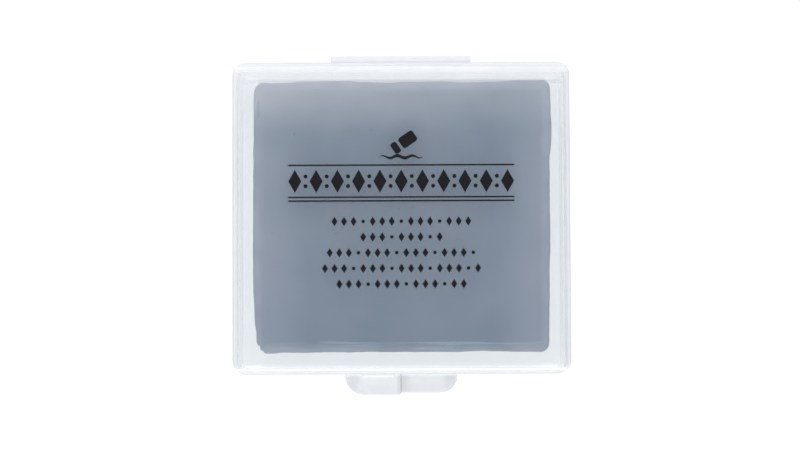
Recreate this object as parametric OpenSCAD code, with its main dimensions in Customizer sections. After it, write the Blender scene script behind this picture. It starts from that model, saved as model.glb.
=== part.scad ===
// A slab of kneadable putty eraser in its hinged, see-through storage case.
// The case lies closed on its base: +X to the right, +Y towards the hinge, +Z up.
// The origin is the centre of the case's underside. Millimetres.

/* [Eraser] */
// Width of the putty slab, left to right
eraser_w = 40; // [30:0.5:60]
// Depth of the putty slab, front to back
eraser_d = 36.5; // [25:0.5:60]
// Thickness of the putty slab
eraser_h = 10; // [6:0.5:20]
// Radius of the slab's four upright corners
eraser_corner_r = 1.3; // [0.6:0.1:3]
// Radius along the slab's top and bottom edges
eraser_edge_r = 0.5; // [0.2:0.1:1.5]

/* [Room around the slab] */
// Gap between the slab and each side wall
side_room = 2; // [0.5:0.1:5]
// Gap between the slab and the front wall
front_room = 2.25; // [0.5:0.05:5]
// Gap between the slab and the back wall
back_room = 1.85; // [0.5:0.05:5]
// Gap between the slab and the lid above it
top_room = 1.5; // [0.4:0.1:5]

/* [Case] */
// Thickness of the upright walls
wall_t = 0.7; // [0.6:0.05:1.5]
// Thickness of the floor and of the top
skin_t = 0.8; // [0.6:0.05:2]
// Radius of the upright corners, outside
corner_r = 2; // [1.5:0.1:4]
// Radius along the front and back edges, top and bottom
long_edge_r = 1.5; // [0.8:0.1:3]
// Radius along the left and right edges, top and bottom
side_edge_r = 0.5; // [0.3:0.1:1.5]
// Smallest radius inside the shells
inner_edge_r = 0.3; // [0.1:0.1:0.5]

/* [Closing lip] */
// Height of the lip that stands up from the base's rim
lip_h = 1; // [0.5:0.1:2]
// Thickness of that lip
lip_t = 0.3; // [0.2:0.05:0.35]
// Clearance between the lip and the lid
lip_gap = 0.1; // [0.08:0.01:0.15]
// Length of each snap bead on the lip's front
bead_w = 6; // [3:0.5:8]
// How far a snap bead stands out from the lip
bead_out = 0.05; // [0.02:0.01:0.06]
// Radius of a snap bead
bead_r = 0.2; // [0.1:0.05:0.25]
// Distance between the middles of the two snap beads
bead_pitch = 24; // [10:1:30]

/* [Thumb tabs] */
// Width of the lid's tab, to the left of the middle
lid_tab_w = 7.7; // [4:0.1:12]
// How far the lid's tab stands out from the front
lid_tab_out = 2.8; // [1.5:0.1:5]
// Radius of the lid tab's outer corner
lid_tab_r = 2.4; // [0.5:0.1:2.5]
// Width of the base's tab, to the right of the middle
base_tab_w = 7.5; // [4:0.1:12]
// How far the base's tab stands out from the front
base_tab_out = 2.5; // [1.5:0.1:5]
// Radius of the base tab's outer corner
base_tab_r = 2.2; // [0.5:0.1:2.4]
// Thickness of each tab
tab_t = 1.2; // [0.8:0.1:2]
// Bevel around a tab's open face
tab_bevel = 0.35; // [0.1:0.05:0.5]
// Radius of a tab's corner next to the middle
tab_mid_r = 0.4; // [0.2:0.1:0.6]
// Gap between the two tabs, seen from above
tab_gap = 0.1; // [0:0.05:1]

/* [Living hinge] */
// Width of the hinge
hinge_w = 19; // [8:0.2:26]
// How far the root of the hinge stands out from the back walls
hinge_root = 0.5; // [0.2:0.05:1]
// Thickness of the folded film
film_t = 0.3; // [0.2:0.05:0.4]
// Radius of the film's fold, at the middle of its thickness
film_r = 0.85; // [0.4:0.05:1.2]
// Height of each root beyond the film's face
root_margin = 0.25; // [0.1:0.05:0.6]

/* [Hidden] */
$fn = 48;
over = 1; // how far a cutting shape runs past what it cuts

inner_w = eraser_w + 2 * side_room;
inner_d = eraser_d + front_room + back_room;
inner_h = eraser_h + top_room;
case_w = inner_w + 2 * wall_t;
case_d = inner_d + 2 * wall_t;
case_h = inner_h + 2 * skin_t;
part_z = case_h / 2; // where the lid meets the base: both halves are equally deep
back_y = case_d / 2;
front_y = -case_d / 2;
slab_y = (front_room - back_room) / 2;
root_h = film_r + film_t / 2 + root_margin;
clear = "#dfe6eacc";
putty = "#8f9cab";

// A rectangle centred on the origin with four rounded corners.
module round_rect(w, d, r) {
    square([w, d - 2 * r], center = true);
    square([w - 2 * r, d], center = true);
    for (x = [-1, 1], y = [-1, 1])
        translate([x * (w / 2 - r), y * (d / 2 - r)]) circle(r);
}

// A block standing on z = 0: one radius on the upright corners, one along the
// front and back edges and one along the side edges.
module soft_block(w, d, h, upright_r, front_r, side_r) {
    intersection() {
        translate([0, 0, -over]) linear_extrude(h + 2 * over) round_rect(w, d, upright_r);
        translate([-w / 2 - over, 0, h / 2]) rotate([90, 0, 90])
            linear_extrude(w + 2 * over) round_rect(d, h, front_r);
        translate([0, d / 2 + over, h / 2]) rotate([90, 0, 0])
            linear_extrude(d + 2 * over) round_rect(w, h, side_r);
    }
}

module outside() {
    soft_block(case_w, case_d, case_h, corner_r, long_edge_r, side_edge_r);
}

// The whole hollow, over both halves.
module inside() {
    translate([0, 0, skin_t])
        soft_block(inner_w, inner_d, inner_h, max(corner_r - wall_t, inner_edge_r),
                   max(long_edge_r - wall_t, inner_edge_r), inner_edge_r);
}

// Everything between two heights.
module slice(low, high) {
    translate([-case_w, -case_d, low]) cube([2 * case_w, 2 * case_d, high - low]);
}

// The hollow's outline, grown outwards by the given amount.
module rim_outline(grow) {
    round_rect(inner_w + 2 * grow, inner_d + 2 * grow,
               max(corner_r - wall_t, inner_edge_r) + grow);
}

// Both snap beads, as rods along X at the lip's front face.
module bead_rods(r, length) {
    for (side = [-1, 1])
        translate([side * bead_pitch / 2 - length / 2,
                   front_y + wall_t - lip_t - bead_out + bead_r, part_z + lip_h / 2])
            rotate([0, 90, 0]) cylinder(r = r, h = length);
}

// A tab's outline: from the middle towards +X, standing out towards -Y from y = 0,
// and reaching back into the wall's thickness, so that it is one with the wall.
module tab_outline(w, out, r, inset) {
    hull() {
        translate([tab_gap / 2 + inset, 0]) square([w - tab_gap / 2 - 2 * inset, wall_t / 2]);
        translate([w - r, r - out]) circle(r - inset);
        translate([tab_gap / 2 + tab_mid_r, tab_mid_r - out]) circle(tab_mid_r - inset / 2);
    }
}

// A tab standing on z = 0 with its bevelled face up.
module tab(w, out, r) {
    hull() {
        linear_extrude(tab_t - tab_bevel) tab_outline(w, out, r, 0);
        linear_extrude(tab_t) tab_outline(w, out, r, tab_bevel);
    }
}

// One root of the living hinge, standing on z = 0 behind the back wall.
module root() {
    translate([-hinge_w / 2, back_y - wall_t / 2, 0])
        cube([hinge_w, wall_t / 2 + hinge_root, root_h]);
}

module case_base() {
    color(clear) {
        difference() {
            union() {
                intersection() {
                    outside();
                    slice(-over, part_z);
                }
                translate([0, front_y, part_z]) mirror([0, 0, 1])
                    tab(base_tab_w, base_tab_out, base_tab_r);
                translate([0, 0, part_z]) mirror([0, 0, 1]) root();
            }
            inside();
        }
        difference() {
            union() {
                translate([0, 0, part_z - lip_h]) linear_extrude(2 * lip_h) rim_outline(lip_t);
                bead_rods(bead_r, bead_w);
            }
            translate([0, 0, part_z - lip_h - over])
                linear_extrude(2 * (lip_h + over)) rim_outline(0);
        }
    }
}

module case_lid() {
    color(clear)
        difference() {
            union() {
                intersection() {
                    outside();
                    slice(part_z, case_h + over);
                }
                translate([0, front_y, part_z]) mirror([1, 0, 0])
                    tab(lid_tab_w, lid_tab_out, lid_tab_r);
                translate([0, 0, part_z]) root();
            }
            inside();
            translate([0, 0, part_z - over])
                linear_extrude(over + lip_h + lip_gap) rim_outline(lip_t + lip_gap);
            bead_rods(bead_r + lip_gap, bead_w + 2 * lip_gap);
        }
}

// The thin web that folds: closed, it is a half ring behind the two roots.
module hinge_film() {
    color(clear)
        translate([-hinge_w / 2, back_y + hinge_root, part_z]) rotate([90, 0, 90])
            linear_extrude(hinge_w)
                intersection() {
                    difference() {
                        circle(film_r + film_t / 2);
                        circle(film_r - film_t / 2);
                    }
                    translate([0, -film_r - film_t])
                        square([film_r + film_t, 2 * (film_r + film_t)]);
                }
}

module eraser() {
    color(putty)
        translate([0, slab_y, skin_t])
            soft_block(eraser_w, eraser_d, eraser_h, eraser_corner_r, eraser_edge_r,
                       eraser_edge_r);
}

case_base();
case_lid();
hinge_film();
eraser();
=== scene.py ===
"""A slab of grey kneadable putty in its hinged, see-through storage case.

The case lies closed on a white floor, seen from a little in front of straight above.
"""

import math

import bmesh
import bpy
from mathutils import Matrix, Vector, noise

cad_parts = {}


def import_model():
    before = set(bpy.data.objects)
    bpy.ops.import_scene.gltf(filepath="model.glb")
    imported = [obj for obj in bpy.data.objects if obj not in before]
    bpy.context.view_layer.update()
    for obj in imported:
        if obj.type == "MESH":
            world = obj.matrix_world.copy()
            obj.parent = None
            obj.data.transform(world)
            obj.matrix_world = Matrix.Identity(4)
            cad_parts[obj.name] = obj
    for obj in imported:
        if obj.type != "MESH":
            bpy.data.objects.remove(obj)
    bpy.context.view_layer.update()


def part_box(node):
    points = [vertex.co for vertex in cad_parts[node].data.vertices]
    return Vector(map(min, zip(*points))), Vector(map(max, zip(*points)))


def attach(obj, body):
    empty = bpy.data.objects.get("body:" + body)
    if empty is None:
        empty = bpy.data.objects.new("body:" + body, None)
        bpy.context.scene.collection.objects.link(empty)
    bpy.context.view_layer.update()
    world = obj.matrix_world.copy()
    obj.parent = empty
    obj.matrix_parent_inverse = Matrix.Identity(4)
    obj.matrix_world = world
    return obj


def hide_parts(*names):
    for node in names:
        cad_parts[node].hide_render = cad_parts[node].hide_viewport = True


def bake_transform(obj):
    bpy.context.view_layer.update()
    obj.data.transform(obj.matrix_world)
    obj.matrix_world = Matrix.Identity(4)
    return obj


MM = 0.001
QUARTER = math.pi / 2
TURN = 4 * QUARTER

# The case, as it was constructed: sizes that the frame doesn't give.
WALL = 0.7 * MM
SKIN = 0.8 * MM
CORNER_R = 2.0 * MM
LONG_EDGE_R = 1.5 * MM
SIDE_EDGE_R = 0.5 * MM
INNER_EDGE_R = 0.3 * MM
LIP_H = 1.0 * MM
LIP_T = 0.3 * MM
LIP_GAP = 0.1 * MM
BEAD_W = 6.0 * MM
BEAD_R = 0.2 * MM
BEAD_OUT = 0.05 * MM
BEAD_PITCH = 24.0 * MM
LID_TAB_OUT = 2.8 * MM
BASE_TAB_OUT = 2.5 * MM
TAB_T = 1.2 * MM
HINGE_ROOT = 0.5 * MM
ROOT_MARGIN = 0.25 * MM  # what each root of the hinge stands past the film's face
FILM_R = 0.85 * MM
FILM_T = 0.3 * MM

# Finish of the moulded shells.
CREASE = 0.25 * MM  # softness of the crease where an edge's round meets an upright corner
RIM_BEVEL = 0.08 * MM
RIM_GAP = 0.02 * MM  # what each rim stands back from the parting plane
JOIN_GAP = 0.03 * MM  # what a joined part stands back from it, so that no two faces share a plane
BITE = 0.15 * MM  # how far a joined part reaches into its wall
ROOT_BEVEL = 0.12 * MM
FILM_BEVEL = 0.06 * MM
FILM_WAIST = 0.35  # share of the film's thickness that is missing at its middle, where it bends
ARC_STEPS = 20
EDGE_STEPS = 12
ROD_STEPS = 24
FILM_STEPS = 32
WELD = 0.001 * MM
SHARP = math.radians(35)  # edges sharper than this are shaded as edges

# The thumb tabs. Their sides stand straight up to TAB_STRAIGHT and then lean in to the open face.
TAB_STRAIGHT = 0.35 * MM
TAB_MID_R = 0.4 * MM  # radius of the corner next to the middle, at the foot and at the open face
TAB_FACE_MID_R = 0.3 * MM
TAB_FACE_IN = 0.3 * MM  # what the open face stands back from the tab's outer edge
TAB_FACE_TIGHTER = 0.7 * MM  # how much smaller its outer corner's radius is
# Each tab's side and direction, where it starts and ends, and its rounding.
LID_TAB = dict(
    side=-1,
    up=1,
    inner=0.05 * MM,
    width=7.7 * MM,
    out=LID_TAB_OUT,
    outer_r=2.65 * MM,
    shoulder=1.6 * MM,
    mid_shoulder=0.7 * MM,
    root_r=0.7 * MM,
)
BASE_TAB = dict(
    side=1,
    up=-1,
    inner=-0.25 * MM,  # under the lid's tab, so that no slit shows between the two
    width=7.5 * MM,
    out=BASE_TAB_OUT,
    outer_r=2.2 * MM,
    shoulder=1.2 * MM,
    mid_shoulder=1.1 * MM,
    root_r=0.0,
)


# ---------------------------------------------------------------- mesh helpers


def soft_min(a, b, softness):
    """The smaller of two numbers, with a rounded crossing."""
    if softness <= 0:
        return min(a, b)
    near = max(softness - abs(a - b), 0) / softness
    return min(a, b) - near * near * softness / 4


def object_from(name, mesh, sharp_from=SHARP):
    """Turns a bmesh into an object with smooth shading, sharp only at real edges."""
    bmesh.ops.recalc_face_normals(mesh, faces=mesh.faces)
    data = bpy.data.meshes.new(name)
    mesh.to_mesh(data)
    mesh.free()
    obj = bpy.data.objects.new(name, data)
    bpy.context.scene.collection.objects.link(obj)
    data.shade_smooth()
    data.set_sharp_from_angle(angle=sharp_from)
    return obj


def loft(name, rings, sharp_from=SHARP):
    """A closed body through rings of equally many points, with a flat face at each end."""
    mesh = bmesh.new()
    loops = [[mesh.verts.new(point) for point in ring] for ring in rings]
    count = len(loops[0])
    for low, high in zip(loops, loops[1:]):
        for i in range(count):
            j = (i + 1) % count
            mesh.faces.new((low[i], low[j], high[j], high[i]))
    mesh.faces.new(loops[0])
    mesh.faces.new(loops[-1])
    bmesh.ops.remove_doubles(mesh, verts=mesh.verts, dist=WELD)
    return object_from(name, mesh, sharp_from)


def prism(name, outline, start, end):
    """A bar along X with the given outline of (y, z) points."""
    return loft(name, [[(x, y, z) for y, z in outline] for x in (start, end)])


def joined(target, parts, operation="UNION"):
    """Joins the parts to the target, or cuts them out of it, and keeps one clean mesh."""
    for part in parts:
        modifier = target.modifiers.new("join", "BOOLEAN")
        modifier.operation = operation
        modifier.solver = "EXACT"
        modifier.object = part
    keep_modifiers(target)
    for part in parts:
        bpy.data.objects.remove(part)


def keep_modifiers(obj):
    """Applies the object's modifiers to its mesh."""
    shaped = obj.evaluated_get(bpy.context.evaluated_depsgraph_get())
    data = bpy.data.meshes.new_from_object(shaped)
    obj.modifiers.clear()
    obj.data = data


def finished(obj):
    """Smooth shading whose flat faces stay flat."""
    obj.data.shade_smooth()
    obj.data.set_sharp_from_angle(angle=SHARP)
    weighted = obj.modifiers.new("flat faces", "WEIGHTED_NORMAL")
    weighted.keep_sharp = True
    weighted.weight = 100


# ---------------------------------------------------------------- the case


class Case:
    """Where the case's walls, rims and corners are, from the frame."""

    def __init__(self):
        _, base_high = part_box("case_base")
        lid_low, lid_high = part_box("case_lid")
        self.half_w = (lid_high[0] - lid_low[0]) / 2
        self.front = lid_low[1] + LID_TAB_OUT
        self.back = base_high[1] - HINGE_ROOT
        self.half_d = (self.back - self.front) / 2
        self.height = lid_high[2]
        self.part_z = self.height / 2
        self.corner_x = self.half_w - CORNER_R
        self.corner_y = self.half_d - CORNER_R


def outline(case, z, radius, half_w=None, half_d=None, softness=0.0):
    """Points around the case at one height: round corners, cut off at half_w and half_d."""
    points = []
    for turn in range(4):
        side_x = 1 if turn in (0, 3) else -1
        side_y = 1 if turn in (0, 1) else -1
        for step in range(ARC_STEPS + 1):
            angle = QUARTER * (turn + step / ARC_STEPS)
            x = case.corner_x + radius * abs(math.cos(angle))
            y = case.corner_y + radius * abs(math.sin(angle))
            if half_w is not None:
                x = soft_min(x, half_w, softness)
            if half_d is not None:
                y = soft_min(y, half_d, softness)
            points.append((side_x * x, side_y * y, z))
    return points


def setback(height, radius):
    """How far an edge of this radius stands in, at a height over the flat face."""
    if height >= radius:
        return 0.0
    return radius - math.sqrt(radius * radius - (radius - height) ** 2)


def edge_heights(*radii):
    """Heights that follow each radius in even steps of angle."""
    found = {0.0}
    for radius in radii:
        for step in range(1, EDGE_STEPS + 1):
            found.add(radius * (1 - math.cos(QUARTER * step / EDGE_STEPS)))
    return sorted(found)


def skin_rings(case, flat_z, up, radius, long_r, side_r):
    """Rings of one skin, from its flat face to where both edges' rounds have ended."""
    half_w = case.corner_x + radius
    half_d = case.corner_y + radius
    rings = []
    for height in edge_heights(long_r, side_r):
        in_w = setback(height, side_r)
        in_d = setback(height, long_r)
        softness = min(CREASE, in_w + in_d)
        rings.append(
            outline(case, flat_z + up * height, radius, half_w - in_w, half_d - in_d, softness)
        )
    return rings


def shell(name, case, up, rim):
    """One half of the case, the base with up = 1 or the lid with up = -1.

    rim lists a radius and height for each corner of the rim's section, from outside in.
    """
    flat_z = 0.0 if up > 0 else case.height
    inner_r = CORNER_R - WALL
    outer = skin_rings(case, flat_z, up, CORNER_R, LONG_EDGE_R, SIDE_EDGE_R)
    inner_z = flat_z + up * SKIN
    inner = skin_rings(case, inner_z, up, inner_r, LONG_EDGE_R - WALL, INNER_EDGE_R)
    rings = outer + [outline(case, z, radius) for radius, z in rim] + inner[::-1]
    return loft(name, rings)


def base_rim(case):
    """The base's rim, with the lip that stands up inside it."""
    inner_r = CORNER_R - WALL
    z = case.part_z - RIM_GAP
    top = case.part_z + LIP_H
    return [
        (CORNER_R, z - RIM_BEVEL),
        (CORNER_R - RIM_BEVEL, z),
        (inner_r + LIP_T, z),
        (inner_r + LIP_T, top - RIM_BEVEL),
        (inner_r + LIP_T - RIM_BEVEL, top),
        (inner_r + RIM_BEVEL, top),
        (inner_r, top - RIM_BEVEL),
    ]


def lid_rim(case):
    """The lid's rim, with the recess that takes the lip."""
    inner_r = CORNER_R - WALL
    recess_r = inner_r + LIP_T + LIP_GAP
    z = case.part_z + RIM_GAP
    top = case.part_z + LIP_H + LIP_GAP
    return [
        (CORNER_R, z + RIM_BEVEL),
        (CORNER_R - RIM_BEVEL, z),
        (recess_r, z),
        (recess_r, top),
        (inner_r, top),
    ]


def tab_outline(side, front, z, inner, width, out, outer_r, mid_r):
    """A thumb tab's outline at one height, from the middle of the front round to its outer side."""
    points = [(inner, BITE)]
    corners = ((2 * QUARTER, inner + mid_r, mid_r), (3 * QUARTER, width - outer_r, outer_r))
    for first, centre, radius in corners:
        for step in range(ARC_STEPS + 1):
            angle = first + QUARTER * step / ARC_STEPS
            x = centre + radius * math.cos(angle)
            y = radius - out + radius * math.sin(angle)
            points.append((x, y))
    points.append((width, BITE))
    return [(side * x, front + y, z) for x, y in points]


def tab(case, side, up, inner, width, out, outer_r, shoulder, mid_shoulder, root_r):
    """A thumb tab, from the parting plane to its open face, which is smaller by the two shoulders.

    With root_r, a hollow round leads from the open face up to the wall.
    """
    start = case.part_z + up * JOIN_GAP
    foot = dict(inner=inner, width=width, out=out, outer_r=outer_r, mid_r=TAB_MID_R)
    face = dict(
        inner=inner + mid_shoulder,
        width=width - shoulder,
        out=out - TAB_FACE_IN,
        outer_r=outer_r - TAB_FACE_TIGHTER,
        mid_r=TAB_FACE_MID_R,
    )
    tight = dict(foot, width=width - RIM_BEVEL, out=out - RIM_BEVEL)
    rings = [tab_outline(side, case.front, start, **tight)]
    rings.append(tab_outline(side, case.front, start + up * RIM_BEVEL, **foot))
    for step in range(EDGE_STEPS + 1):
        angle = QUARTER * step / EDGE_STEPS
        share = 0.7 * math.sin(angle) + 0.3 * (1 - math.cos(angle))
        z = start + up * (TAB_STRAIGHT + (TAB_T - TAB_STRAIGHT) * math.sin(angle))
        size = {key: foot[key] + share * (face[key] - foot[key]) for key in foot}
        rings.append(tab_outline(side, case.front, z, **size))
    for step in range(EDGE_STEPS if root_r else 0):
        angle = QUARTER * step / EDGE_STEPS
        left = root_r * (1 - math.sin(angle))
        narrower = 0.1 * MM + root_r * math.sin(angle)
        z = start + up * (TAB_T + root_r * (1 - math.cos(angle)))
        size = dict(face, out=left, outer_r=0.8 * left, mid_r=0.5 * left)
        size["width"] -= 1.2 * narrower
        size["inner"] += 0.5 * narrower
        rings.append(tab_outline(side, case.front, z, **size))
    return loft("tab", rings)


def hinge_root(case, up):
    """The thick strip behind the wall that the hinge's film grows from."""
    film_low, film_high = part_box("hinge_film")
    height = FILM_R + FILM_T / 2 + ROOT_MARGIN
    back = case.back + HINGE_ROOT
    start = case.part_z + up * JOIN_GAP
    end = case.part_z + up * height
    profile = [
        (case.back - BITE, start),
        (back, start),
        (back, end - up * ROOT_BEVEL),
        (back - ROOT_BEVEL, end),
        (case.back - BITE, end),
    ]
    return prism("root", profile, film_low[0], film_high[0])


def beads(case, radius, length):
    """The two snap beads on the lip's front, as rods."""
    y = case.front + WALL - LIP_T - BEAD_OUT + BEAD_R
    z = case.part_z + LIP_H / 2
    angles = [TURN * step / ROD_STEPS for step in range(ROD_STEPS)]
    profile = [(y + radius * math.cos(angle), z + radius * math.sin(angle)) for angle in angles]
    rods = []
    for side in (-1, 1):
        middle = side * BEAD_PITCH / 2
        rods.append(prism("rod", profile, middle - length / 2, middle + length / 2))
    return rods


def case_base(case):
    """The lower shell, with its lip, thumb tab and hinge root."""
    body = shell("base_shell", case, 1, base_rim(case))
    joined(body, [tab(case, **BASE_TAB), hinge_root(case, -1), *beads(case, BEAD_R, BEAD_W)])
    finished(body)
    return body


def case_lid(case):
    """The upper shell, with its recess, thumb tab and hinge root."""
    body = shell("lid_shell", case, -1, lid_rim(case))
    joined(body, [tab(case, **LID_TAB), hinge_root(case, 1)])
    joined(body, beads(case, BEAD_R + LIP_GAP, BEAD_W + 2 * LIP_GAP), "DIFFERENCE")
    finished(body)
    return body


def hinge_film(case):
    """The thin folded web, thinnest at its middle, where it bends."""
    low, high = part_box("hinge_film")
    back = case.back + HINGE_ROOT
    stations = (
        (low[0], FILM_BEVEL),
        (low[0] + FILM_BEVEL, 0.0),
        (high[0] - FILM_BEVEL, 0.0),
        (high[0], FILM_BEVEL),
    )
    rings = []
    for x, thinner in stations:
        outer, inner = [], []
        for step in range(FILM_STEPS + 1):
            angle = 2 * QUARTER * step / FILM_STEPS - QUARTER
            waist = FILM_WAIST * FILM_T * math.cos(angle) ** 2
            half = (FILM_T - waist) / 2 - thinner
            for ring, radius in ((outer, FILM_R + half), (inner, FILM_R - half)):
                y = back + radius * math.cos(angle)
                z = case.part_z + radius * math.sin(angle)
                ring.append((x, y, z))
        rings.append(outer + inner[::-1])
    film = loft("film_strip", rings)
    finished(film)
    return film


# ---------------------------------------------------------------- the putty


# The putty's numbers are in millimetres.
# How far each side of the slab stands out from straight: (place along it, distance).
BACK_EDGE = (
    (-20, 0.05), (-14.7, 0.05), (-14.1, 0.24), (-11, 0.23), (-10.4, 0.27), (-7.6, 0.26),
    (-4.4, 0.08), (-0.9, 0), (-0.2, 0.14), (5.3, 0.15), (9.5, 0.02), (12.5, 0.12), (15.7, 0.27),
    (20, 0.27),
)
FRONT_EDGE = (
    (-20, -0.26), (-17.8, -0.12), (-16, -0.16), (-13.5, -0.1), (-10, -0.2), (2, -0.18), (8, -0.16),
    (8.4, -0.22), (9.4, -0.25), (13, -0.25), (15.5, -0.14), (20, -0.11),
)
LEFT_EDGE = (
    (-18, -0.52), (-16.5, -0.42), (-13, -0.12), (-8, 0.05), (-3, 0.06), (8, 0), (13, -0.05),
    (19, -0.05),
)
RIGHT_EDGE = (
    (-19, -0.12), (-9, -0.02), (-2, 0.12), (3, 0.08), (7.5, 0.09), (11, 0.4), (14, 0.32), (19, 0.2),
)
# Each corner's side, end and radius, from the back right one round by the left.
CORNERS = ((1, 1, 0.9), (-1, 1, 1.5), (-1, -1, 1.8), (1, -1, 1.3))
TORN_AT = Vector((-19, -17.5))  # the middle of the torn corner
TORN_REACH = 2.5
CUT_AT = Vector((-19.3, 14.8))  # the middle of the short cut near the left side
CUT_REACH = 1.6
CUT_HALF_W = 0.16
CUT_DEPTH = 0.12
FOOT_LIFT = 0.02
FOOT_R = 0.4
BULGE = 0.12  # how far the sides bulge at half height
EDGE_IN = 1.0  # how far the upper edge's round reaches in, and down
EDGE_DOWN = 0.8
DENTED_FROM = 6  # height from which the slab is dented and pillowed
NEAR_SIDE = 0.93  # share of the half size from which a side's wander counts
SIDE_STEPS = 110
SIDE_ROWS = 16
FOOT_STEPS = 6


def along(edge, place):
    """The value of an edge's list at a place, with smooth steps between its points."""
    if place <= edge[0][0]:
        return edge[0][1]
    for (start, low), (end, high) in zip(edge, edge[1:]):
        if place <= end:
            share = (place - start) / (end - start)
            return low + (high - low) * share * share * (3 - 2 * share)
    return edge[-1][1]


def square_outline(half_w, half_d):
    """Points around a rectangle with the slab's corners, in millimetres, from the right side on."""
    points = []
    for turn, (side_x, side_y, radius) in enumerate(CORNERS):
        centre = Vector((side_x * (half_w - radius), side_y * (half_d - radius)))
        for step in range(ARC_STEPS + 1):
            angle = QUARTER * (turn + step / ARC_STEPS)
            points.append(centre + radius * Vector((math.cos(angle), math.sin(angle))))
        next_x, next_y, next_radius = CORNERS[(turn + 1) % 4]
        end = Vector((next_x * (half_w - next_radius), next_y * (half_d - next_radius)))
        end += next_radius * Vector((math.cos(angle), math.sin(angle)))
        start = points[-1]
        points += [start.lerp(end, step / SIDE_STEPS) for step in range(1, SIDE_STEPS)]
    return points


def nearness(place, half_size):
    """1 on one side of the slab or its opposite one, and 0 from a little further in."""
    return max(0.0, (abs(place) / half_size - NEAR_SIDE) / (1 - NEAR_SIDE))


def hand_cut(point, half_w, half_d):
    """Moves a point of the outline as the slab was cut and torn."""
    out_x = nearness(point.x, half_w) * along(RIGHT_EDGE if point.x > 0 else LEFT_EDGE, point.y)
    out_y = nearness(point.y, half_d) * along(BACK_EDGE if point.y > 0 else FRONT_EDGE, point.x)
    moved = Vector((math.copysign(1, point.x) * out_x, math.copysign(1, point.y) * out_y))
    torn = math.exp(-(((point - TORN_AT).length / TORN_REACH) ** 2))
    # a slow waver, and a fine roughness that is strongest at the torn corner
    rough = 0.05 * noise.noise(Vector((point.x * 0.6, point.y * 0.6, 0)))
    rough += (0.04 + 0.32 * torn) * noise.noise(Vector((point.x * 1.9, point.y * 1.9, 9)))
    return point + moved + Vector((point.x / half_w, point.y / half_d)).normalized() * rough


def slab_rings(outer, half_w, half_d, height):
    """Rings from the slab's foot up its sides, round its upper edge and in to its middle."""

    def ring(z, inset):
        return [Vector((p.x * (1 - inset / half_w), p.y * (1 - inset / half_d), z)) for p in outer]

    rings = []
    for step in range(FOOT_STEPS + 1):
        angle = QUARTER * step / FOOT_STEPS
        z = FOOT_LIFT + FOOT_R * (1 - math.cos(angle))
        rings.append(ring(z, FOOT_R * (1 - math.sin(angle))))
    side_low = FOOT_LIFT + FOOT_R
    side_high = height - EDGE_DOWN
    for row in range(1, SIDE_ROWS):
        share = row / SIDE_ROWS
        z = side_low + (side_high - side_low) * share
        rings.append(ring(z, -BULGE * math.sin(math.pi * share)))
    for step in range(EDGE_STEPS + 1):
        angle = QUARTER * step / EDGE_STEPS
        z = side_high + EDGE_DOWN * math.sin(angle)
        rings.append(ring(z, EDGE_IN * (1 - math.cos(angle))))
    # the rings on the top are closer near its edge, where it falls and is cut
    inset = EDGE_IN
    while inset < half_d - 0.3:
        inset += 0.12 if inset < 3 else 0.45
        rings.append(ring(height, min(inset, half_d - 0.1)))
    return rings


def handled(point, half_w, half_d, height):
    """A point of the slab with the dents and fall of its top, the short cut and a slight ripple."""
    x, y, z = point
    dents = 0.05 * noise.noise(Vector((x * 0.13, y * 0.16, 2)))
    dents += 0.025 * noise.noise(Vector((x * 0.5, y * 0.7, 4)))
    fall = 0.07 + 0.35 * max(abs(x) / half_w, abs(y) / half_d) ** 9
    top_share = max(0.0, min(1.0, (z - DENTED_FROM) / (height - DENTED_FROM)))
    cut = math.exp(-(((x - CUT_AT.x) / CUT_HALF_W) ** 2))
    cut *= max(0.0, 1 - ((y - CUT_AT.y) / CUT_REACH) ** 2)
    z += top_share * (dents - fall) - CUT_DEPTH * cut
    ripple = 0.06 * noise.noise(Vector((x * 0.35, y * 0.35, z * 0.8)))
    return Vector((x, y, z)) + Vector((x, y, 0)).normalized() * ripple


def putty_slab():
    """The slab, cut square by hand: wavy sides, soft edges and a torn front left corner."""
    low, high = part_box("eraser")
    middle = Vector(((low[0] + high[0]) / 2, (low[1] + high[1]) / 2, low[2]))
    half_w = (high[0] - low[0]) / 2 / MM
    half_d = (high[1] - low[1]) / 2 / MM
    height = (high[2] - low[2]) / MM
    outer = [hand_cut(point, half_w, half_d) for point in square_outline(half_w, half_d)]
    rings = [
        [middle + MM * handled(point, half_w, half_d, height) for point in ring]
        for ring in slab_rings(outer, half_w, half_d, height)
    ]
    return loft("putty_slab", rings, math.radians(80))


# ---------------------------------------------------------------- the print


INK_IN = 0.005 * MM  # how far the ink reaches into the lid and stands out of it
INK_OUT = 0.015 * MM
BAR_STEPS = 6
DOT_STEPS = 16
STROKE_STEPS = 60


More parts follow.
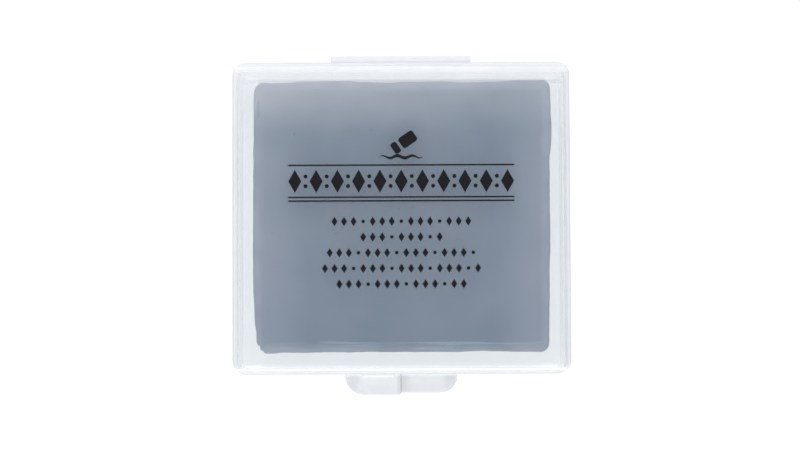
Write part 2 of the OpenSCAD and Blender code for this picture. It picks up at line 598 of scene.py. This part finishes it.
class Print:
    """Flat shapes of ink on the lid, in millimetres from the lid's middle."""

    def __init__(self, top):
        self.mesh = bmesh.new()
        self.top = top

    def shape(self, points):
        """One closed shape, a hair thick."""
        low = [self.mesh.verts.new((x * MM, y * MM, self.top - INK_IN)) for x, y in points]
        high = [self.mesh.verts.new((x * MM, y * MM, self.top + INK_OUT)) for x, y in points]
        for i in range(len(points)):
            j = (i + 1) % len(points)
            self.mesh.faces.new((low[i], low[j], high[j], high[i]))
        self.mesh.faces.new(low[::-1])
        self.mesh.faces.new(high)

    def bar(self, x, y, length, height, radius, angle=0.0):
        """A bar with round corners, turned about its middle."""
        cos, sin = math.cos(angle), math.sin(angle)
        points = []
        for turn in range(4):
            side_x = 1 if turn in (0, 3) else -1
            side_y = 1 if turn in (0, 1) else -1
            for step in range(BAR_STEPS + 1):
                a = QUARTER * (turn + step / BAR_STEPS)
                u = side_x * (length / 2 - radius) + radius * math.cos(a)
                v = side_y * (height / 2 - radius) + radius * math.sin(a)
                points.append((x + u * cos - v * sin, y + u * sin + v * cos))
        self.shape(points)

    def lozenge(self, x, y, width, height):
        half_w, half_h = width / 2, height / 2
        self.shape([(x + half_w, y), (x, y + half_h), (x - half_w, y), (x, y - half_h)])

    def dot(self, x, y, radius):
        angles = [TURN * i / DOT_STEPS for i in range(DOT_STEPS)]
        self.shape([(x + radius * math.cos(a), y + radius * math.sin(a)) for a in angles])

    def stroke(self, x, y, length, rise, waves, thick):
        """A wavy line whose ends thin out."""
        upper, lower = [], []
        for i in range(STROKE_STEPS + 1):
            share = i / STROKE_STEPS
            along_x = x + length * (share - 0.5)
            mid_y = y + rise * math.sin(share * waves * TURN)
            half = 0.02 + thick / 2 * math.sin(share * TURN / 2)
            upper.append((along_x, mid_y + half))
            lower.append((along_x, mid_y - half))
        self.shape(lower + upper[::-1])

    def finished(self, name):
        """The print as an object."""
        # where two round corners of a thin bar meet, they share their points
        bmesh.ops.remove_doubles(self.mesh, verts=self.mesh.verts, dist=WELD)
        return object_from(name, self.mesh)


def evenly(count, pitch):
    """Places about 0, a pitch apart."""
    return [(i - (count - 1) / 2) * pitch for i in range(count)]


def lid_print(case):
    """The printed design: a small block over its stroke, a border and rows of small lozenges."""
    ink = Print(case.height)
    tilt = math.radians(35)
    ink.bar(x=0.9, y=10.45, length=2.3, height=1.6, radius=0.35, angle=tilt)
    ink.bar(x=-0.72, y=9.3, length=0.9, height=1.6, radius=0.3, angle=tilt)
    ink.stroke(x=0, y=8.1, length=6, rise=0.16, waves=3, thick=0.4)

    count, pitch = 11, 2.85
    for x in evenly(count, pitch):
        ink.lozenge(x, y=4.85, width=1.75, height=3.1)
    for x in evenly(count - 1, pitch):
        for y in (4.2, 5.5):
            ink.dot(x, y, radius=0.27)
    for y in (7, 2.7, 2.2):
        ink.bar(x=0, y=y, length=count * pitch - 1, height=0.2, radius=0.1)

    for row, count in enumerate((15, 9, 16, 17, 14)):
        y = -0.55 - 2.1 * row
        for i, x in enumerate(evenly(count, 1.28)):
            if i % 4 == 3:
                ink.dot(x, y, radius=0.24)
            else:
                ink.lozenge(x, y, width=0.8, height=1.25)
    return ink.finished("lid_print")


# ---------------------------------------------------------------- materials


class Graph:
    """A material's or world's node tree, with short ways to add and join nodes."""

    def __init__(self, owner):
        owner.use_nodes = True
        self.tree = owner.node_tree
        self.tree.nodes.clear()

    def add(self, kind, **values):
        """Adds a node. Capitalised names set its inputs, with _ for a space, others properties."""
        node = self.tree.nodes.new("ShaderNode" + kind)
        for name, value in values.items():
            if name[0].isupper():
                node.inputs[name.replace("_", " ")].default_value = value
            else:
                setattr(node, name, value)
        return node

    def join(self, source, target, socket=0):
        """Links a node's first output, or the given output, to an input."""
        if isinstance(source, bpy.types.Node):
            source = source.outputs[0]
        self.tree.links.new(source, target.inputs[socket])
        return target

    def math(self, operation, a, b=0.0):
        """A Math node on two sockets, nodes or numbers."""
        node = self.add("Math", operation=operation)
        for i, value in enumerate((a, b)):
            if isinstance(value, (int, float)):
                node.inputs[i].default_value = value
            else:
                self.join(value, node, i)
        return node

    def times(self, a, b):
        return self.math("MULTIPLY", a, b)

    def plus(self, a, b):
        return self.math("ADD", a, b)

    def larger(self, a, b):
        return self.math("MAXIMUM", a, b)

    def distance(self, a, b):
        """How far apart two values are."""
        return self.math("ABSOLUTE", self.math("SUBTRACT", a, b))

    def past(self, value, limit):
        """How far a value's size is past a limit."""
        return self.math("SUBTRACT", self.math("ABSOLUTE", value), limit)

    def remap(self, value, low, high, to_low, to_high, smooth=False):
        """Maps a range of values to another, clamped."""
        node = self.add("MapRange", interpolation_type="SMOOTHSTEP" if smooth else "LINEAR")
        for i, number in enumerate((low, high, to_low, to_high)):
            node.inputs[i + 1].default_value = number
        return self.join(value, node)

    def mix(self, factor, a, b):
        """A Mix Shader of a and b, by a socket, node or number."""
        node = self.add("MixShader")
        if isinstance(factor, (int, float)):
            node.inputs[0].default_value = factor
        else:
            self.join(factor, node)
        self.join(a, node, 1)
        return self.join(b, node, 2)

    def blend(self, factor, a, b):
        """A colour between a and b, each a node, a socket or a plain colour."""
        node = self.add("Mix", data_type="RGBA")
        self.join(factor, node)
        for socket, colour in ((6, a), (7, b)):
            if isinstance(colour, tuple):
                node.inputs[socket].default_value = (*colour, 1)
            else:
                self.join(colour, node, socket)
        return node.outputs[2]

    def noise(self, scale, detail=2.0, stretch=(1, 1, 1)):
        """Noise in the object's own coordinates, with scale in features a metre."""
        place = self.add("TexCoord")
        mapping = self.add("Mapping", Scale=stretch)
        self.join(place.outputs["Object"], mapping)
        return self.join(mapping, self.add("TexNoise", Scale=scale, Detail=detail), "Vector")


def new_material(name):
    material = bpy.data.materials.new(name)
    return material, Graph(material)


MILK = (0.9, 0.91, 0.925)  # the plastic's haze
DEEP_AND_SHADE = (0.6, 0.63, 0.66)  # what passes through the plastic where it is deepest, and where painted shade darkens it
SIDE_X = 19 * MM  # the haze, with its painted reflection, changes from left to right between -SIDE_X and SIDE_X
SHADOW_VALLEY_X = 0.28 * MM  # the middle of the painted shadow in the dip between the two tabs
TAB_TURN_X = 6.55 * MM  # where the tabs' outer sides turn down, and their painted shade is darkest


class Spot:
    """Sockets that say where on the case a point is, and how its surface lies."""

    def __init__(self, g, case):
        place = g.add("TexCoord")
        self.x, self.y, self.z = g.join(place.outputs["Object"], g.add("SeparateXYZ")).outputs
        normal = g.join(place.outputs["Normal"], g.add("SeparateXYZ"))
        self.normal_x, self.normal_y, normal_z = normal.outputs
        # 1 on level faces and 0 on upright ones
        self.level = g.math("ABSOLUTE", normal_z)
        # 1 where a face is seen edge on
        self.edge_on = g.add("LayerWeight", Blend=0.5).outputs["Facing"]
        # how far a point is past the room inside the case, which ends at the walls' inner faces
        self.past_side = g.past(self.x, case.half_w - WALL)
        self.past_room = g.larger(self.past_side, g.past(self.y, case.half_d - WALL))
        # 1 on the thumb tabs, rising from behind the front face
        self.behind_front = case.front - 0.4 * MM
        self.on_tab = g.remap(self.y, self.behind_front, case.front, 1, 0, smooth=True)
        # less than 1 near the parting plane, so that the rims, lip and recess stay clear
        self.off_rim = g.remap(g.distance(self.z, case.part_z), 1.3 * MM, 1.6 * MM, 0.3, 1)


def haze_share(g, case, spot, face_haze, wall_haze, tab_haze):
    """How milky the plastic is: most over the walls, on the tabs and where it is seen edge on; more
    towards the back, most on the left, as a painted reflection of the softbox.
    """
    over_wall = g.remap(spot.past_room, -0.2 * MM, 0.1 * MM, 0, 1, smooth=True)
    rear_round = case.half_d - LONG_EDGE_R
    over_rear = g.remap(spot.y, rear_round - 0.25 * MM, rear_round + 0.15 * MM, 0, 1, smooth=True)
    over_rear = g.times(over_rear, g.remap(spot.x, -SIDE_X, SIDE_X, 0.6, 1.3))
    on_wall = g.times(g.remap(spot.level, 0.25, 0.7, 0, wall_haze, smooth=True), spot.off_rim)
    on_wall = g.larger(g.times(g.larger(over_wall, over_rear), on_wall), face_haze)
    in_tab = g.times(spot.on_tab, g.remap(spot.x, 0, 1 * MM, tab_haze, 0.85 * tab_haze))

    outer = g.remap(spot.past_room, 0.1 * MM, 0.5 * MM, 0.1, 0.5)
    edge_on = g.times(g.math("POWER", spot.edge_on, 1.6), outer)
    edge_on = g.times(edge_on, g.remap(spot.on_tab, 0, 1, 1, 0.4))
    # painted reflection: more milk towards the back, most on the left, stands in for the softbox's
    # broad reflection; veil adds a little haze everywhere but at the front
    rear_painted_reflection = g.remap(spot.y, 10 * MM, 19.5 * MM, 0, 0.1, smooth=True)
    rear_painted_reflection = g.times(rear_painted_reflection, g.remap(spot.x, -SIDE_X, SIDE_X, 1.55, 0.75))
    veil = g.remap(spot.y, -15 * MM, -8 * MM, 0, 0.012, smooth=True)

    haze = g.plus(edge_on, g.plus(rear_painted_reflection, veil))
    haze = g.plus(haze, g.larger(on_wall, in_tab))
    haze = g.times(haze, g.remap(g.noise(160, 3), 0.3, 0.7, 0.88, 1.12))
    haze.use_clamp = True
    return haze


def depth_and_painted_shade(g, case, spot):
    """How much the plastic darkens what is seen through it.

    It does so along its outer edges, partly as painted shade; on the tabs, on a line by the right
    wall and in the floor it is painted shade.
    """
    outer = g.remap(spot.past_room, 0.2 * MM, 0.6 * MM, 0, 1)
    outer = g.plus(outer, g.remap(spot.past_side, 0.3 * MM, 0.6 * MM, 0, 0.4))
    # darker where the outer edges are seen edge on: partly the longer way through the plastic,
    # partly painted shade for the dark rims that refraction draws
    silhouette = g.times(g.math("POWER", spot.edge_on, 4), outer)
    silhouette = g.times(silhouette, g.remap(spot.y, spot.behind_front, case.front, 0, 1))
    silhouette = g.times(silhouette, g.remap(spot.y, case.back, case.back + 0.1 * MM, 1, 0.4))

    # painted shade on the tabs: where their outer sides turn down, at their tips, on their steep
    # faces, and a painted shadow in the valley between the two
    from_turn = g.distance(g.math("ABSOLUTE", spot.x), TAB_TURN_X)
    tab_turn_shade = g.remap(from_turn, 0.2 * MM, 1.3 * MM, 0.27, 0, smooth=True)
    tab_tip_shade = g.remap(spot.y, case.front - 2.5 * MM, case.front - 1.1 * MM, 0.2, 0)
    tab_edge_shade = g.remap(spot.level, 0.7, 0.99, 0.08, 0)
    valley_shadow = g.remap(g.distance(spot.x, SHADOW_VALLEY_X), 0, 1.15 * MM, 0.23, 0)
    tab_painted_shade = g.plus(g.plus(tab_edge_shade, valley_shadow), g.larger(tab_turn_shade, tab_tip_shade))
    tab_painted_shade = g.times(spot.on_tab, tab_painted_shade)

    # a painted dark line by the right wall's inner face, standing in for the one that refraction
    # draws there
    from_right_wall = g.distance(spot.x, case.half_w - WALL + 0.1 * MM)
    right_painted_line = g.remap(from_right_wall, 0.04 * MM, 0.12 * MM, 0.4, 0)
    right_painted_line = g.times(right_painted_line, g.math("GREATER_THAN", spot.z, case.height - 0.3 * MM))
    # painted contact shade in the base's floor, where it stands on the table
    floor_contact_shade = g.times(g.math("LESS_THAN", spot.z, SKIN + 0.1 * MM), 0.085)
    return g.larger(g.larger(right_painted_line, floor_contact_shade), g.larger(silhouette, tab_painted_shade))


def shine_share(g, spot):
    """How much the surface mirrors: more seen edge on, and less on the level faces by the rim."""
    shine = g.math("MULTIPLY_ADD", g.math("POWER", spot.edge_on, 5), 0.15)
    shine.inputs[2].default_value = 0.06
    shown = g.larger(g.remap(spot.level, 0.3, 0.7, 1, 0), spot.on_tab)
    return g.times(shine, g.larger(spot.off_rim, shown))


def plastic(name, case, tint, face_haze, wall_haze, tab_haze):
    """Moulded see-through plastic, clear across a thin skin and milky where it is thick."""
    material, g = new_material(name)
    spot = Spot(g, case)

    # the haze takes its light on the side that faces out of the case or up
    world_z = g.join(g.add("NewGeometry").outputs["Normal"], g.add("SeparateXYZ")).outputs["Z"]
    outwards = g.plus(g.times(spot.x, spot.normal_x), g.times(spot.y, spot.normal_y))
    outwards = g.plus(outwards, g.times(world_z, 8 * MM))
    lit_side = g.math("GREATER_THAN", outwards, 0.0)
    near_side = g.add("BsdfDiffuse", Color=(*MILK, 1))
    far_side = g.add("BsdfTranslucent", Color=(*MILK, 1))
    body = g.mix(lit_side, far_side, near_side)

    # what is seen through it is darkened for depth and by painted shade
    clear = g.join(g.blend(depth_and_painted_shade(g, case, spot), tint, DEEP_AND_SHADE), g.add("BsdfTransparent"))
    gloss = g.add("BsdfGlossy")
    peel = g.add("Bump", Strength=0.012, Distance=0.02 * MM)
    g.join(g.noise(900, 2), peel, "Height")
    g.join(peel, gloss, "Normal")
    g.join(g.remap(g.noise(240, 4), 0.3, 0.7, 0.09, 0.12), gloss, "Roughness")
    haze = haze_share(g, case, spot, face_haze, wall_haze, tab_haze)
    seen = g.mix(shine_share(g, spot), g.mix(haze, clear, body), gloss)

    # light that falls through it on other surfaces is hardly dimmed
    path = g.add("LightPath")
    passed = g.add("BsdfTransparent")
    g.join(g.remap(spot.y, spot.behind_front, case.front, 0.82, 0.965), passed, "Color")
    for ray in ("Is Diffuse Ray", "Is Shadow Ray"):
        seen = g.mix(path.outputs[ray], seen, passed)
    g.join(seen, g.add("OutputMaterial"))
    return material


def putty(name, half_w, half_d, middle_y):
    """Matt blue-grey putty: cloudy, with dark specks and pale streaks along its left side; its
    paler sides, edges and front streaks are painted light, its darker cut painted shade.
    """
    material, g = new_material(name)
    x, y, _ = g.join(g.add("TexCoord").outputs["Object"], g.add("SeparateXYZ")).outputs
    past_side = g.past(x, half_w)
    past_end = g.math("SUBTRACT", g.distance(y, middle_y), half_d)

    def fine_streaks(stretch, low, high):
        """Fine streaks along one direction."""
        return g.remap(g.noise(1, 3, stretch), low, high, 0, 1)

    clouds = g.remap(g.noise(110, 3), 0.35, 0.65, 0, 1, smooth=True)
    colour = g.blend(clouds, (0.124, 0.178, 0.25), (0.146, 0.194, 0.268))
    # painted light: paler towards the left and right sides and round the edges, where the rounded
    # edges catch the light
    painted_light_colour = (0.35, 0.39, 0.475)
    colour = g.blend(g.remap(past_side, -8 * MM, -1 * MM, 0, 0.32, smooth=True), colour, painted_light_colour)
    edge = g.remap(g.larger(past_side, past_end), -1.6 * MM, -0.2 * MM, 0, 0.55, smooth=True)
    edge = g.times(edge, g.remap(g.noise(260, 2), 0.3, 0.7, 0.5, 1.3))
    colour = g.blend(edge, colour, painted_light_colour)

    # painted highlight: pale streaks just inside the front edge, for light caught by its rounded
    # front
    front = g.remap(past_end, -2.1 * MM, -1.2 * MM, 0, 1, smooth=True)
    front = g.times(front, g.math("LESS_THAN", y, 0))
    front = g.times(front, fine_streaks((110, 2400, 300), 0.5, 0.7))
    colour = g.blend(front, colour, (0.27, 0.345, 0.41))
    left = g.remap(x, 1.8 * MM - half_w, 0.9 * MM - half_w, 0, 0.7, smooth=True)
    left = g.times(left, fine_streaks((2600, 110, 300), 0.55, 0.68))
    colour = g.blend(left, colour, (0.3, 0.31, 0.4))
    # painted shade in the short cut, where shade falls in the groove
    cut = g.remap(g.distance(x, CUT_AT.x * MM), 0.05 * MM, 0.3 * MM, 0.6, 0)
    cut = g.times(cut, g.remap(g.distance(y, CUT_AT.y * MM), 0.8 * MM, CUT_REACH * MM, 1, 0))
    colour = g.blend(cut, colour, (0.1, 0.14, 0.2))
    specks = g.remap(g.noise(1700, 1), 0.74, 0.78, 0, 0.5)
    colour = g.blend(specks, colour, (0.06, 0.08, 0.11))

    body = g.add("BsdfPrincipled", Specular_IOR_Level=0.3, Sheen_Weight=0.08, Sheen_Roughness=0.5)
    g.join(colour, body, "Base Color")
    g.join(g.remap(g.noise(400, 3), 0.3, 0.7, 0.68, 0.85), body, "Roughness")
    height = g.plus(g.noise(420, 4), g.times(g.noise(2400, 2), 0.25))
    grain = g.add("Bump", Strength=0.35, Distance=0.05 * MM)
    g.join(height, grain, "Height")
    g.join(grain, body, "Normal")
    g.join(body, g.add("OutputMaterial"))
    return material


def black_ink(name):
    """Black printing ink."""
    material, g = new_material(name)
    body = g.add("BsdfPrincipled", Base_Color=(0.008, 0.008, 0.009, 1), Specular_IOR_Level=0.15)
    g.join(g.remap(g.noise(2500, 2), 0.3, 0.7, 0.45, 0.7), body, "Roughness")
    g.join(body, g.add("OutputMaterial"))
    return material


# ---------------------------------------------------------------- stage, lamps and camera

DAYLIGHT = (0.985, 1.0, 1.03)
FLOOR_DOWN = 0.05 * MM  # the floor is this far below the case's underside, clear of it
FLOOR_GLOW = 0.8  # share of the floor's white that doesn't depend on the lamps
FLOOR_WHITE = dict(Color=(0.995, 1, 1.03, 1), Strength=1.15)
SKY_LOW = 0.495  # the room's light near the horizon and high up
SKY_TOP = 0.99
SKY_GAP = 0.44  # what is left of the light straight above, where the camera looks in

CAMERA_TILT = math.radians(3.2)
CAMERA_ROLL = math.radians(-0.24)
CAMERA_DISTANCE = 0.35
CAMERA_AIM = Vector((-0.185, -0.76, 0)) * MM  # from the case's middle
FOCAL_PIXELS = 2566
PICTURE_WIDTH = 800


def seen_directly(g):
    """1 for rays that show the surroundings: straight on, in a mirror or through glass."""
    path = g.add("LightPath")
    either = g.larger(path.outputs["Is Camera Ray"], path.outputs["Is Glossy Ray"])
    return g.larger(either, path.outputs["Is Transmission Ray"])


def table_top():
    """A white floor. Part of its white is its own, so it stays white under a faint shadow."""
    mesh = bmesh.new()
    bmesh.ops.create_circle(mesh, cap_ends=True, segments=96, radius=4)
    floor = object_from("floor", mesh)
    material, g = new_material("white_floor")
    matt = g.add("BsdfDiffuse", Color=(0.8, 0.8, 0.8, 1))
    glow = g.add("Emission", **FLOOR_WHITE)
    share = g.times(seen_directly(g), FLOOR_GLOW)
    g.join(g.mix(share, matt, glow), g.add("OutputMaterial"))
    floor.data.materials.append(material)
    floor.location.z = -FLOOR_DOWN


def lamp(name, place, size, power):
    """A rectangular lamp at a place, facing the case."""
    box = bpy.data.lights.new(name, "AREA")
    box.shape = "RECTANGLE"
    box.size, box.size_y = size
    box.energy = power
    box.color = DAYLIGHT
    holder = bpy.data.objects.new(name, box)
    holder.location = place
    holder.rotation_euler = Vector(place).to_track_quat("Z", "Y").to_euler()
    bpy.context.scene.collection.objects.link(holder)


def studio():
    """A pale room, brightest high up, with a softbox behind on the left and one low in front."""
    world = bpy.data.worlds.new("studio")
    bpy.context.scene.world = world
    g = Graph(world)
    # up is 0 at the horizon and 1 straight above
    up = g.join(g.add("TexCoord").outputs["Generated"], g.add("SeparateXYZ")).outputs["Z"]
    room = g.remap(up, 0.2, 0.7, SKY_LOW, SKY_TOP, smooth=True)
    gap = g.remap(up, 0.96, 0.99, 1, SKY_GAP, smooth=True)
    straight = g.add("LightPath").outputs["Is Camera Ray"]
    back = g.join(g.blend(straight, DAYLIGHT, (1.0, 1.0, 1.0)), g.add("Background"))
    g.join(g.larger(g.times(room, gap), straight), back, "Strength")
    g.join(back, g.add("OutputWorld"))
    lamp("softbox", place=(-0.15, 0.58, 0.4), size=(0.4, 0.5), power=1.25)
    lamp("front_lamp", place=(0, -0.755, 0.275), size=(0.3, 0.34), power=1.5)


def camera(centre):
    """The camera, nearly straight above and a little towards the front."""
    lens = bpy.data.cameras.new("camera")
    lens.sensor_width = 36
    lens.lens = FOCAL_PIXELS * lens.sensor_width / PICTURE_WIDTH
    lens.clip_start = 0.01
    eye = bpy.data.objects.new("camera", lens)
    back = Vector((0, -math.sin(CAMERA_TILT), math.cos(CAMERA_TILT)))
    eye.location = centre + CAMERA_AIM + CAMERA_DISTANCE * back
    eye.rotation_euler = (CAMERA_TILT, 0, 0)
    eye.rotation_euler.rotate_axis("Z", CAMERA_ROLL)
    bpy.context.scene.collection.objects.link(eye)
    bpy.context.scene.camera = eye


# ---------------------------------------------------------------- the scene


def finish_in(piece, material):
    """Gives a piece its one material."""
    piece.data.materials.clear()
    piece.data.materials.append(material)


def main():
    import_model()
    case = Case()

    scene = bpy.context.scene
    scene.view_settings.view_transform = "Standard"
    scene.cycles.caustics_refractive = False
    scene.cycles.caustics_reflective = False
    scene.cycles.max_bounces = 24
    scene.cycles.transmission_bounces = 24
    scene.cycles.transparent_max_bounces = 32

    clear = plastic(
        "clear_plastic",
        case,
        tint=(0.989, 0.998, 1.0),
        face_haze=0.03,
        wall_haze=0.4,
        tab_haze=0.35,
    )
    film_clear = plastic(
        "film_plastic", case, tint=(0.95, 0.96, 0.97), face_haze=0.3, wall_haze=0.3, tab_haze=0.3
    )

    base = case_base(case)
    finish_in(base, clear)
    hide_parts("case_base")
    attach(base, "base")

    lid = case_lid(case)
    finish_in(lid, clear)
    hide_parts("case_lid")
    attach(lid, "lid")

    film = hinge_film(case)
    finish_in(film, film_clear)
    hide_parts("hinge_film")
    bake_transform(film)

    slab = putty_slab()
    low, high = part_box("eraser")
    half_w = (high[0] - low[0]) / 2
    half_d = (high[1] - low[1]) / 2
    finish_in(slab, putty("putty", half_w, half_d, middle_y=(high[1] + low[1]) / 2))
    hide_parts("eraser")
    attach(slab, "base")

    marks = lid_print(case)
    finish_in(marks, black_ink("print"))
    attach(marks, "lid")

    table_top()
    studio()
    camera(Vector((0, 0, case.part_z)))


main()
